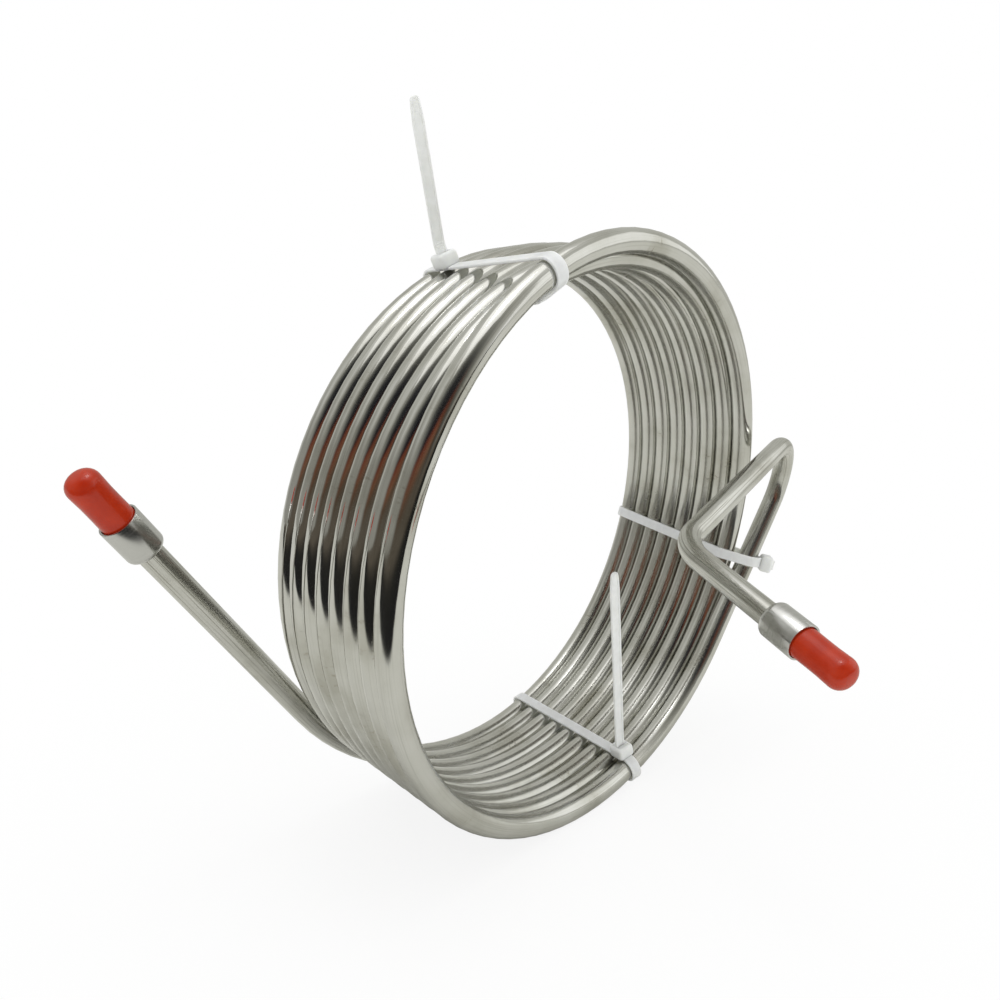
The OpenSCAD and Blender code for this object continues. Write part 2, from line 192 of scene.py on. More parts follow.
WIND_END = 180 - INLET_ARC
END = math.radians(WIND_END)
OPEN_CENTRE = half_frame(LAST_HALF) @ shift((RADII[0] - OPEN_R) * math.cos(END),
                                            (RADII[0] - OPEN_R) * math.sin(END), 0)
INLET_LEG = (OPEN_CENTRE @ about("Z", WIND_END - OPEN_ANGLE) @ shift(OPEN_R, 0, 0)
             @ about("X", 90))
OUTLET_START = half_frame(0) @ about("Z", 180) @ shift(RADII[0], 0, 0) @ about("X", -90)
OUTLET_CROSS = after_bend(OUTLET_START, RISE_LENGTH, 180 + TOP_PLANE, TOP_BEND)
OUTLET_LEG = after_bend(OUTLET_CROSS, CROSS_LENGTH, MOUTH_PLANE, MOUTH_BEND)
# A collar's base on each leg.
COLLAR_SET = COLLAR_LENGTH + NOSE_LENGTH
INLET_END = INLET_LEG @ shift(0, 0, INLET_STRAIGHT - COLLAR_SET)
OUTLET_END = OUTLET_LEG @ shift(0, 0, OUTLET_STRAIGHT - COLLAR_SET)
# Metres along the tube, from its inlet end, at which the winding starts and ends.
LEG_IN = (INLET_STRAIGHT + math.radians(OPEN_ANGLE) * OPEN_R) / 1000
LEG_OUT = LEG_IN + (math.radians(INLET_ARC) * RADII[0]
                    + math.pi * sum(RADII[k % 2] for k in range(LAST_HALF))) / 1000


# -------------------------------------------------------------- mesh helpers

class Run:
    """A section that is carried along a route, ring by ring. Each point keeps
    how far along the route it is and where it sits round the section."""

    def __init__(self, mesh, edges):
        self.mesh, self.edges, self.along = mesh, edges, 0.0
        self.far = mesh.verts.layers.float["far"]

    def step(self, move, length):
        made = bmesh.ops.extrude_edge_only(self.mesh, edges=self.edges)["geom"]
        ring = [g for g in made if isinstance(g, bmesh.types.BMVert)]
        fresh = set(ring)
        self.edges = [g for g in made
                      if isinstance(g, bmesh.types.BMEdge) and fresh.issuperset(g.verts)]
        bmesh.ops.transform(self.mesh, matrix=move, verts=ring)
        self.along += length
        for v in ring:
            v[self.far] = self.along
        return ring

    def straight(self, direction, length, most=STRAIGHT_STEP):
        n = max(1, math.ceil(length / most))
        for _ in range(n):
            self.step(Matrix.Translation(direction * (length / n)), length / n)

    def turn(self, f, axis, angle, radius, most=WIND_STEP):
        n = max(1, math.ceil(abs(angle) / most))
        move = turning(f, axis, angle / n)
        for _ in range(n):
            self.step(move, math.radians(abs(angle)) / n * radius)


def new_mesh():
    """An empty mesh whose points hold how far along the piece they are, where
    round it, and the least height that they may have."""
    mesh = bmesh.new()
    for mark in ("far", "round", "least"):
        mesh.verts.layers.float.new(mark)
    return mesh


def mark_round(mesh, f):
    """Marks where each point sits round the frame's Z axis, from 0 to 1."""
    turn, back = mesh.verts.layers.float["round"], f.inverted()
    for v in mesh.verts:
        p = back @ v.co
        v[turn] = math.atan2(p.y, p.x) / (2 * math.pi) % 1.0


def lay_uv(mesh, round_mm):
    """U runs along the piece and V round it, both in metres of the real thing."""
    far, turn = mesh.verts.layers.float["far"], mesh.verts.layers.float["round"]
    uv = mesh.loops.layers.uv.new("along_round")
    for face in mesh.faces:
        marks = [loop.vert[turn] for loop in face.loops]
        wraps = max(marks) - min(marks) > 0.5
        for loop, mark in zip(face.loops, marks):
            if wraps and mark < 0.5:
                mark += 1
            loop[uv].uv = (loop.vert[far] * 0.001, mark * round_mm * 0.001)


def finish_piece(name, mesh, material, body, nodes, smooth=40):
    """Millimetres to metres, normals outward, and the calls that place it."""
    bmesh.ops.scale(mesh, vec=(0.001, 0.001, 0.001), verts=mesh.verts)
    bmesh.ops.recalc_face_normals(mesh, faces=mesh.faces)
    data = bpy.data.meshes.new(name)
    mesh.to_mesh(data)
    mesh.free()
    piece = bpy.data.objects.new(name, data)
    bpy.context.scene.collection.objects.link(piece)
    data.materials.append(material)
    for polygon in data.polygons:
        polygon.use_smooth = True
    data.set_sharp_from_angle(angle=math.radians(smooth))
    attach(piece, body)
    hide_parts(*nodes)


# ------------------------------------------------------------------ materials

def linear(code):
    """An sRGB hex value as the linear colour that the sockets take."""
    parts = [int(code[i:i + 2], 16) / 255 for i in (1, 3, 5)]
    return [c / 12.92 if c <= 0.04045 else ((c + 0.055) / 1.055) ** 2.4 for c in parts] + [1.0]


def add(tree, kind, sockets=None, stops=(), **settings):
    """One node: its settings by name, its stops if it is a colour ramp, and its
    sockets as values or links. A link to a node is to its first open output."""
    made = tree.nodes.new("ShaderNode" + kind)
    for name, value in settings.items():
        setattr(made, name, value)
    for i, (place, code) in enumerate(stops):
        marks = made.color_ramp.elements
        mark = marks[i] if i < 2 else marks.new(place)
        mark.position, mark.color = place, linear(code)
    for name, value in (sockets or {}).items():
        if isinstance(value, bpy.types.Node):
            value = next(out for out in value.outputs if out.enabled)
        if isinstance(value, bpy.types.NodeSocket):
            tree.links.new(value, made.inputs[name])
        else:
            made.inputs[name].default_value = value
    return made


def start(name):
    """A material with an empty node tree."""
    material = bpy.data.materials.new(name)
    material.use_nodes = True
    material.node_tree.nodes.clear()
    return material, material.node_tree


def drawn_stainless():
    """304 stainless tube, cold drawn and bright annealed: close to a mirror.
    The die leaves faint lines along it, the winding drum leaves scuffs across
    it, and handling leaves it a little smeared."""
    material, tree = start("drawn_stainless_tube")
    uv = add(tree, "UVMap", uv_map="along_round")
    # Die lines, 60 mm long. They are finer on real tube, and drawn 0.5 mm apart
    # so that they show.
    lines = add(tree, "Mapping", {"Vector": uv, "Scale": (1 / 0.06, 1 / 0.0005, 1)})
    line = add(tree, "TexNoise", {"Vector": lines, "Scale": 1.0, "Detail": 2.0})
    # Broad streaks: 3 mm wide and 120 mm long.
    streaks = add(tree, "Mapping", {"Vector": uv, "Scale": (1 / 0.12, 1 / 0.003, 1)})
    streak = add(tree, "TexNoise", {"Vector": streaks, "Scale": 1.0, "Detail": 2.0})
    # Smears and dull patches: 25 mm.
    place = add(tree, "TexCoord").outputs["Object"]
    patch = add(tree, "TexNoise", {"Vector": place, "Scale": 1 / 0.025, "Detail": 5.0})
    # Scuffs: short marks, 1.5 mm along the tube and 6 mm round it, in few places.
    marks = add(tree, "Mapping", {"Vector": uv, "Scale": (1 / 0.0015, 1 / 0.006, 1)})
    mark = add(tree, "TexNoise", {"Vector": marks, "Scale": 1.0, "Detail": 3.0})
    sharp = add(tree, "MapRange", {"Value": mark, "From Min": 0.60, "From Max": 0.74,
                                   "To Max": 0.7})
    worn = add(tree, "MapRange", {"Value": patch, "From Min": 0.52, "From Max": 0.64})
    scuff = add(tree, "Math", {0: sharp, 1: worn}, operation="MULTIPLY")
    # The side that lay on the winding drum is duller.
    turned = add(tree, "SeparateXYZ", {0: uv})
    round_it = add(tree, "MapRange", {"Value": turned.outputs["Y"],
                                      "From Max": math.pi * TUBE_D / 1000})
    off = add(tree, "Math", {0: round_it, 1: 0.5}, operation="SUBTRACT")
    off = add(tree, "Math", {0: off}, operation="ABSOLUTE")
    drum = add(tree, "MapRange", {"Value": off, "From Min": 0.14, "From Max": 0.30,
                                  "To Min": 1.0, "To Max": 0.0})
    # Both legs went through the bender's dies, which scoured them.
    along = turned.outputs["X"]
    inlet = add(tree, "MapRange", {"Value": along, "From Min": LEG_IN - 0.02,
                                   "From Max": LEG_IN + 0.02, "To Min": 1.0, "To Max": 0.0})
    outlet = add(tree, "MapRange", {"Value": along, "From Min": LEG_OUT - 0.02,
                                    "From Max": LEG_OUT + 0.02})
    leg = add(tree, "Math", {0: inlet, 1: outlet}, operation="MAXIMUM")
    scour = add(tree, "MapRange", {"Value": line, "From Min": 0.52, "From Max": 0.66})
    scoured = add(tree, "Math", {0: leg, 1: scour}, operation="MULTIPLY")
    # Colour: smears, then die lines, scuffs and scouring, each darker.
    tint = add(tree, "ValToRGB", {"Fac": patch},
               stops=((0.30, "#e0e0dd"), (0.50, "#d6d6d1"), (0.68, "#c2c1b9")))
    lined = add(tree, "MapRange", {"Value": line, "From Min": 0.52, "From Max": 0.75,
                                   "To Max": 0.5})
    drawn = add(tree, "Mix", {"Factor": lined, "A": tint, "B": linear("#aeada5")},
                data_type="RGBA")
    stained = add(tree, "Mix", {"Factor": scuff, "A": drawn, "B": linear("#9d988a")},
                  data_type="RGBA")
    darker = add(tree, "Mix", {"Factor": scoured, "A": stained, "B": linear("#a5a49b")},
                 data_type="RGBA")
    # Roughness: streaks and smears, then more on the drum's side, in the scuffs,
    # on the legs and where they are scoured.
    rough = add(tree, "MapRange", {"Value": streak, "From Min": 0.35, "From Max": 0.65,
                                   "To Min": 0.06, "To Max": 0.12})
    more = add(tree, "MapRange", {"Value": patch, "From Min": 0.35, "From Max": 0.7,
                                  "To Min": -0.01, "To Max": 0.05})
    rough = add(tree, "Math", {0: rough, 1: more}, operation="ADD")
    for where, amount in ((drum, 0.10), (scuff, 0.25), (leg, 0.07), (scoured, 0.15)):
        rough = add(tree, "Math", {0: where, 1: amount, 2: rough}, operation="MULTIPLY_ADD")
    bump = add(tree, "Bump", {"Height": line, "Strength": 0.15, "Distance": 0.00001})
    shader = add(tree, "BsdfPrincipled", {"Base Color": darker, "Metallic": 1.0,
                                          "Roughness": rough, "Normal": bump})
    add(tree, "OutputMaterial", {"Surface": shader})
    return material


def turned_stainless():
    """Turned stainless socket: satin, with the lathe's fine rings round it."""
    material, tree = start("turned_stainless_socket")
    uv = add(tree, "UVMap", uv_map="along_round")
    # Tool rings 0.25 mm apart.
    rings = add(tree, "Mapping", {"Vector": uv, "Scale": (1 / 0.00025, 1 / 0.03, 1)})
    ring = add(tree, "TexNoise", {"Vector": rings, "Scale": 1.0, "Detail": 2.0})
    tint = add(tree, "ValToRGB", {"Fac": ring}, stops=((0.3, "#cbcbc9"), (0.7, "#d6d6d4")))
    rough = add(tree, "MapRange", {"Value": ring, "From Min": 0.3, "From Max": 0.7,
                                   "To Min": 0.17, "To Max": 0.25})
    bump = add(tree, "Bump", {"Height": ring, "Strength": 0.2, "Distance": 0.00001})
    shader = add(tree, "BsdfPrincipled", {"Base Color": tint, "Metallic": 1.0,
                                          "Roughness": rough, "Normal": bump})
    add(tree, "OutputMaterial", {"Surface": shader})
    return material


def dipped_vinyl():
    """Dip-moulded PVC: glossy, faintly wavy from the way the dip ran off."""
    material, tree = start("dipped_vinyl_red")
    place = add(tree, "TexCoord").outputs["Object"]
    # Waves: 6 mm.
    wave = add(tree, "TexNoise", {"Vector": place, "Scale": 1 / 0.006, "Detail": 2.0})
    tint = add(tree, "ValToRGB", {"Fac": wave}, stops=((0.3, "#a9270a"), (0.7, "#b8300c")))
    rough = add(tree, "MapRange", {"Value": wave, "From Min": 0.3, "From Max": 0.7,
                                   "To Min": 0.16, "To Max": 0.24})
    bump = add(tree, "Bump", {"Height": wave, "Strength": 0.15, "Distance": 0.0002})
    shader = add(tree, "BsdfPrincipled", {"Base Color": tint, "Roughness": rough, "IOR": 1.53,
                                          "Specular IOR Level": 0.42, "Normal": bump})
    add(tree, "OutputMaterial", {"Surface": shader})
    return material


def natural_nylon():
    """Undyed nylon 6/6, moulded: milky, a little see-through at thin edges."""
    material, tree = start("natural_nylon_tie")
    place = add(tree, "TexCoord").outputs["Object"]
    # Cloudiness: 4 mm.
    cloud = add(tree, "TexNoise", {"Vector": place, "Scale": 1 / 0.004, "Detail": 3.0})
    tint = add(tree, "ValToRGB", {"Fac": cloud}, stops=((0.3, "#e0e1de"), (0.7, "#eaebe8")))
    rough = add(tree, "MapRange", {"Value": cloud, "From Min": 0.3, "From Max": 0.7,
                                   "To Min": 0.38, "To Max": 0.5})
    bump = add(tree, "Bump", {"Height": cloud, "Strength": 0.15, "Distance": 0.00005})
    shader = add(tree, "BsdfPrincipled", {
        "Base Color": tint, "Roughness": rough, "IOR": 1.53, "Subsurface Weight": 0.8,
        "Subsurface Radius": (0.6, 0.6, 0.55), "Subsurface Scale": 0.004, "Normal": bump})
    add(tree, "OutputMaterial", {"Surface": shader})
    return material


# ------------------------------------------------------------------- the tube

def wind(run, k, begin):
    """Half turn k, from angle "begin" to 180 degrees, with its sag."""
    f, r = half_frame(k), RADII[k % 2]
    n = math.ceil((180 - begin) / WIND_STEP)
    each = (180 - begin) / n
    move = turning(f, 2, each)
    for i in range(n):
        ring = run.step(move, math.radians(each) * r)
        now = begin + each * (i + 1)
        a = math.radians(now)
        drop = sag(k, now) - sag(k, now - each)
        for v in ring:
            v.co -= (math.cos(a) * column(f, 0) + math.sin(a) * column(f, 1)) * drop


def coil_of_tube(material):
    """One hollow tube, bent in the order a bender and a winding drum would."""
    mesh = new_mesh()
    least = mesh.verts.layers.float["least"]
    begin = INLET_LEG @ shift(0, 0, INLET_STRAIGHT)
    for radius, height in ((TUBE_D / 2, 0), (TUBE_D / 2 - TUBE_WALL, FLAT_WALL)):
        circle = bmesh.ops.create_circle(mesh, segments=TUBE_SIDES, radius=radius, matrix=begin)
        for v in circle["verts"]:
            v[least] = height
    mark_round(mesh, begin)
    bmesh.ops.bridge_loops(mesh, edges=mesh.edges[:])
    run = Run(mesh, [e for e in mesh.edges if len(e.link_faces) == 1])
    run.straight(-column(INLET_LEG, 2), INLET_STRAIGHT)
    run.turn(OPEN_CENTRE, 2, OPEN_ANGLE, OPEN_R)
    for k in range(LAST_HALF, -1, -1):
        wind(run, k, WIND_END if k == LAST_HALF else 0)
    run.straight(column(OUTLET_START, 2), RISE_LENGTH)
    run.turn(bend_centre(OUTLET_START, RISE_LENGTH, 180 + TOP_PLANE), 1, TOP_BEND, BEND_R,
             BEND_STEP)
    run.straight(column(OUTLET_CROSS, 2), CROSS_LENGTH)
    run.turn(bend_centre(OUTLET_CROSS, CROSS_LENGTH, MOUTH_PLANE), 1, MOUTH_BEND, BEND_R,
             BEND_STEP)
    run.straight(column(OUTLET_LEG, 2), OUTLET_STRAIGHT)
    bmesh.ops.bridge_loops(mesh, edges=run.edges)
    # Each turn is pressed flat on the ground, with a wall left over it.
    for v in mesh.verts:
        v.co.z = max(v.co.z, v[least])
    lay_uv(mesh, math.pi * TUBE_D)
    finish_piece("coil_of_tube", mesh, material, "chiller", ["coil_tube"])


# ------------------------------------------------------------ collars and caps

CAP_R = TUBE_D / 2 + CAP_FIT + CAP_WALL
MOUTH_R = CAP_R + MOUTH_GAP
COLLAR_R = MOUTH_R + COLLAR_WALL
NEAR_POLE = 88  # degrees round the cap's tip at which its rounding stops


def corner(cx, cz, radius, a, b, steps):
    """Points of a rounded corner from angle a to angle b."""
    return [(cx + radius * math.cos(math.radians(a + (b - a) * i / steps)),
             cz + radius * math.sin(math.radians(a + (b - a) * i / steps)))
            for i in range(steps + 1)]


def lathe(mesh, f, outline):
    """Spins a closed outline of (radius, height) points round the frame's Z."""
    far = mesh.verts.layers.float["far"]
    points = [mesh.verts.new(f @ Vector((r, 0, z))) for r, z in outline]
    way = 0.0
    for before, v in zip(points, points[1:]):
        way += (v.co - before.co).length
        v[far] = way
    edges = [mesh.edges.new(pair) for pair in zip(points, points[1:] + points[:1])]
    bmesh.ops.spin(mesh, geom=points + edges, cent=column(f, 3), axis=column(f, 2),
                   angle=2 * math.pi, steps=LATHE_SIDES, use_merge=True)
    bmesh.ops.remove_doubles(mesh, verts=mesh.verts, dist=0.01)
    mark_round(mesh, f)


def collar(name, f, material, node):
    """A socket with a rounded shoulder and a broken edge at its mouth."""
    mesh = new_mesh()
    neck, floor = TUBE_D / 2 + BRAZE_GAP, COLLAR_LENGTH - MOUTH_DEPTH
    outline = ([(neck, 0.0)]
               + corner(COLLAR_R - SHOULDER_R, SHOULDER_R, SHOULDER_R, -90, 0, 8)
               + corner(COLLAR_R - COLLAR_EDGE, COLLAR_LENGTH - COLLAR_EDGE, COLLAR_EDGE,
                        0, 90, 2)
               + corner(MOUTH_R + MOUTH_EDGE, COLLAR_LENGTH - MOUTH_EDGE, MOUTH_EDGE,
                        90, 180, 2)
               + [(MOUTH_R, floor), (neck, floor)])
    lathe(mesh, f, outline)
    lay_uv(mesh, 2 * math.pi * COLLAR_R)
    finish_piece(name, mesh, material, "chiller", [node], smooth=30)


def cap(name, f, material, node):
    """A dipped cap: rounded rim, slightly waisted, rounded tip."""
    mesh = new_mesh()
    rim = COLLAR_LENGTH - MOUTH_DEPTH + MOUTH_GAP
    tip = COLLAR_LENGTH + CAP_REACH
    bore, inner_round = CAP_R - CAP_WALL, CAP_ROUND - CAP_WALL
    outside = ([(bore, rim), (CAP_R - CAP_BEAD, rim)]
               + corner(CAP_R - CAP_BEAD, rim + CAP_BEAD, CAP_BEAD, -90, 0, 3)
               + [(CAP_R - slimmer, COLLAR_LENGTH + height) for height, slimmer in CAP_WAIST]
               + corner(CAP_R - CAP_ROUND, tip - CAP_ROUND, CAP_ROUND, 0, NEAR_POLE, 8)
               + [(0.0, tip)])
    inside = [(0.0, tip - CAP_WALL)] + corner(
        bore - inner_round, tip - CAP_WALL - inner_round, inner_round, NEAR_POLE, 0, 5)
    lathe(mesh, f, outside + inside)
    lay_uv(mesh, 2 * math.pi * CAP_R)
    finish_piece(name, mesh, material, node, [node], smooth=50)


# ----------------------------------------------------------------------- ties

def tie_plane(angle, skew):
    """The plane of a tie's loop: it holds the stack's middle at its origin, and
    its X axis points out through the turns, this far round the coil."""
    return Matrix.Translation(column(COIL, 3)) @ about("Y", -angle) @ about("X", skew)


def crossing(plane, k):
    """Where half turn k passes through the plane, and how far it slants."""
    f, m = half_frame(k), column(plane, 2)
    r = RADII[k % 2]
    a, b = m.dot(column(f, 0)), m.dot(column(f, 1))
    d = m.dot(column(plane, 3) - column(f, 3))
    middle, turn = math.atan2(b, a), math.acos(d / (r * math.hypot(a, b)))
    back = plane.inverted()
    for t in (middle + turn, middle - turn):
        now = r - sag(k, math.degrees(t))
        p = back @ (f @ Vector((now * math.cos(t), now * math.sin(t), 0)))
        if p.x > 0:
            along = math.cos(t) * column(f, 1) - math.sin(t) * column(f, 0)
            return Vector((p.x, p.y)), math.acos(abs(along.dot(m)))


def turn_corners(plane, near, far):
    """A loop's corners at two half turns, with slack for their slant, and the
    radius that clears the tube there."""
    p, slant = crossing(plane, near)
    q, _ = crossing(plane, far)
    slack = Vector((0, TIE_W / 2 * math.tan(slant)))
    return [p - slack, q + slack], TUBE_D / 2 / math.cos(slant) + TIE_GAP


def outward(p, q):
    """Out of the loop, square to its side from p to q."""
    u = (q - p).normalized()
    return Vector((u.y, -u.x))


STRAP_SECTION = [  # across the strap, and out from its middle
    (-2.25, 0.6), (2.25, 0.6), (2.5, 0.35), (2.5, -0.35), (2.25, -0.6), (1.7, -0.6),
    (1.55, -0.32), (-1.55, -0.32), (-1.7, -0.6), (-2.25, -0.6), (-2.5, -0.35), (-2.5, 0.35)]
CHANNEL = (6, 7)  # its two points on the floor of the channel


def section(mesh, f, across, out):
    """The strap's section as a loop, its points marked in order round it."""
    turn = mesh.verts.layers.float["round"]
    ring = []
    for i, (a, h) in enumerate(STRAP_SECTION):
        v = mesh.verts.new(f + a * across + h * out)
        v[turn] = i / len(STRAP_SECTION)
        ring.append(v)
    return [mesh.edges.new(pair) for pair in zip(ring, ring[1:] + ring[:1])]


class StrapRun(Run):
    """A strap's run, which cuts the ladder of teeth into its channel."""

    def __init__(self, mesh, edges, out):
        super().__init__(mesh, edges)
        self.out, self.deep = out, False
        self.turn_layer = mesh.verts.layers.float["round"]

    def step(self, move, length):
        ring = super().step(move, length)
        self.out = (move.to_3x3() @ self.out).normalized()
        self.deep = not self.deep
        self.press(ring, TOOTH_DEPTH if self.deep else -TOOTH_DEPTH)
        return ring

    def press(self, ring, depth):
        for v in ring:
            if round(v[self.turn_layer] * len(STRAP_SECTION)) in CHANNEL:
                v.co += self.out * depth


def strap(mesh, plane, corners, r):
    """A closed loop in the plane: straight from corner to corner, and round each."""
    flat = plane.to_3x3()

    def place(v):
        return plane @ v.to_3d()

    ends = corners[1:] + corners[:1]
    outs = [outward(p, q) for p, q in zip(corners, ends)]
    mid = r + TIE_T / 2
    out = flat @ outs[0].to_3d()
    run = StrapRun(mesh, section(mesh, place(corners[0] + mid * outs[0]), column(plane, 2), out),
                   out)
    for p, q, here, after in zip(corners, ends, outs, outs[1:] + outs[:1]):
        along = flat @ (q - p).to_3d()
        run.straight(along.normalized(), along.length, TOOTH / 2)
        angle = math.degrees(math.atan2(here.cross(after), here.dot(after))) % 360
        hub = Matrix.Translation(place(q)) @ flat.to_4x4()
        run.turn(hub, 2, angle, mid, math.degrees(TOOTH / 2 / mid))
    if run.deep:  # so that the last ring meets the first
        run.press({v for edge in run.edges for v in edge.verts}, -TOOTH_DEPTH)
    bmesh.ops.remove_doubles(mesh, verts=mesh.verts, dist=0.05)


def seat(plane, p, q, r, at, side, turn=0.0):
    """The head's frame: this far along the loop's side from p to q, or turned
    back round corner p. Its Z points out of the loop, and its X along the strap."""
    e = (q - p).normalized()
    c, s = math.cos(math.radians(turn)), math.sin(math.radians(turn))
    u = Vector((e.x * c + e.y * s, e.y * c - e.x * s))
    w = Vector((u.y, -u.x))
    o = p + at * u + (r + TIE_T / 2) * w
    flat = plane.to_3x3()
    x, z = side * (flat @ u.to_3d()), flat @ w.to_3d()
    y = z.cross(x)
    f = Matrix((x, y, z)).transposed().to_4x4()
    f.translation = plane @ o.to_3d()
    return f


def head(mesh):
    """The moulded block that grips the tail: edges well rounded, and the slot,
    where its top is drawn in to the strap's size and sunk."""
    block = bmesh.ops.create_cube(mesh, size=1.0)["verts"]
    bmesh.ops.scale(mesh, vec=(HEAD_L, HEAD_W, HEAD_H), verts=block)
    bmesh.ops.translate(mesh, vec=(0, 0, HEAD_H / 2), verts=block)
    bmesh.ops.bevel(mesh, geom=mesh.edges[:], offset=HEAD_EDGE, affect="EDGES", segments=4,
                    profile=0.5, material=-1)
    top = max(mesh.faces, key=lambda g: (round(g.calc_center_median().z, 3), g.calc_area()))
    bmesh.ops.inset_individual(mesh, faces=[top], thickness=SLOT_EDGE)
    bmesh.ops.translate(mesh, vec=(0, 0, -SLOT_DEPTH), verts=top.verts[:])


# Share of the tip's length, and the width there: a slight taper, rounded off.
TIP_WIDTHS = ((0.2, 4.8), (0.4, 4.5), (0.6, 4.2), (0.8, 3.8), (0.88, 3.5), (0.94, 3.0),
              (0.98, 2.2), (1.0, 1.2))


def tail(mesh, place, length, lean):
    """The free end: out of the head, over by an angle and on to its rounded tip.
    With no lean it is cut off square."""
    x, y, z = (column(place, i) for i in range(3))
    run = StrapRun(mesh, section(mesh, column(place, 3) + z * TAIL_ROOT, y, -x), -x)
    bmesh.ops.contextual_create(mesh, geom=run.edges)
    if lean is None:
        run.straight(z, HEAD_H + length - TAIL_ROOT, TOOTH / 2)
    else:
        root = HEAD_H + TIE_T
        run.straight(z, root - TAIL_ROOT, TOOTH / 2)
        hub = place @ shift(TAIL_R + TIE_T / 2, 0, root)
        run.turn(hub, 1, lean, TAIL_R + TIE_T / 2, TAIL_STEP)
        away = place.to_3x3() @ (about("Y", lean) @ Vector((0, 0, 1)))
        run.straight(away, length - TIP_L, TOOTH / 2)
        begin, was = run.along, TIE_W
        for share, now in TIP_WIDTHS:
            stride = share * TIP_L - (run.along - begin)
            ring = run.step(Matrix.Translation(away * stride), stride)
            middle = sum((v.co for v in ring), Vector()) / len(ring)
            for v in ring:
                v.co += y * (v.co - middle).dot(y) * (now / was - 1)
            was = now
    bmesh.ops.contextual_create(mesh, geom=run.edges)


def tie(name, plane, corners, r, place, length, lean, material, node):
    mesh = new_mesh()
    head(mesh)
    bmesh.ops.transform(mesh, matrix=place, verts=mesh.verts)
    strap(mesh, plane, corners, r)
    tail(mesh, place, length, lean)
    lay_uv(mesh, TIE_ROUND)
    finish_piece(name, mesh, material, "chiller", [node], smooth=35)


def top_tie(material):
    """Over the top of the turns and down on the front ones. Its head is 12 mm
    short of the far corner, and its tail stands up."""
    plane = tie_plane(angle=115, skew=-2.5)
    corners, r = turn_corners(plane, 1, LAST_HALF - 1)
    long_side = (corners[1] - corners[0]).length
    second, slant = crossing(plane, 3)
    third, _ = crossing(plane, 5)
    corners += [third, second - Vector((0, TIE_W / 2 * math.tan(slant)))]
    place = seat(plane, corners[0], corners[1], r, at=long_side - 12, side=-1)
    tie("top_cable_tie", plane, corners, r, place, length=53, lean=21.5,
        material=material, node="top_tie")


def bottom_tie(material):
    """Round all the turns at the bottom. Its head is 2.5 mm short of the front
    corner, and its tail stands up inside the coil."""
    plane = tie_plane(angle=-74, skew=3.5)
    corners, r = turn_corners(plane, 0, LAST_HALF)
    long_side = (corners[1] - corners[0]).length
    place = seat(plane, corners[1], corners[0], r, at=long_side - 2.5, side=1)
    tie("bottom_cable_tie", plane, corners, r, place, length=95, lean=13,
        material=material, node="bottom_tie")


def side_tie(material):
    """Round all the turns and the slanting rising tube, with slack for its slant.
    Its head is on the rising tube, and its tail is cut off short."""
    plane = tie_plane(angle=-12, skew=8.5)
    turns, r = turn_corners(plane, 1, LAST_HALF - 1)
    way = plane.to_3x3().inverted() @ column(OUTLET_START, 2)
    base = plane.inverted() @ column(OUTLET_START, 3)
    rise = base - way * (base.z / way.z)
    slope = Vector((abs(way.x / way.z), -abs(way.y / way.z)))
    slack = slope * (TIE_W / 2 + TUBE_D / 2 * (1 / abs(way.z) - 1) / slope.length)
    corners = [rise.xy + slack, turns[1], turns[0], rise.xy + Vector((-slack.x, slack.y))]
    place = seat(plane, corners[0], corners[1], r, at=0, side=-1, turn=50)
    tie("side_cable_tie", plane, corners, r, place, length=1.5, lean=None,
        material=material, node="side_tie")


# ------------------------------------------------------------ making the part

steel, machined, vinyl, nylon = (drawn_stainless(), turned_stainless(), dipped_vinyl(),
                                 natural_nylon())
coil_of_tube(steel)
collar("inlet_socket", INLET_END, machined, "inlet_collar")
collar("outlet_socket", OUTLET_END, machined, "outlet_collar")
cap("inlet_dust_cap", INLET_END, vinyl, "inlet_cap")
cap("outlet_dust_cap", OUTLET_END, vinyl, "outlet_cap")
top_tie(nylon)
bottom_tie(nylon)
side_tie(nylon)


# ------------------------------------------------------------ floor and light

VIEW = Vector((0.612, 0.791, 0.0))  # level, the way that the camera looks
ACROSS = Vector((0.791, -0.612, 0.0))  # level, to the camera's right
WHITE = (1, 1, 1, 1)


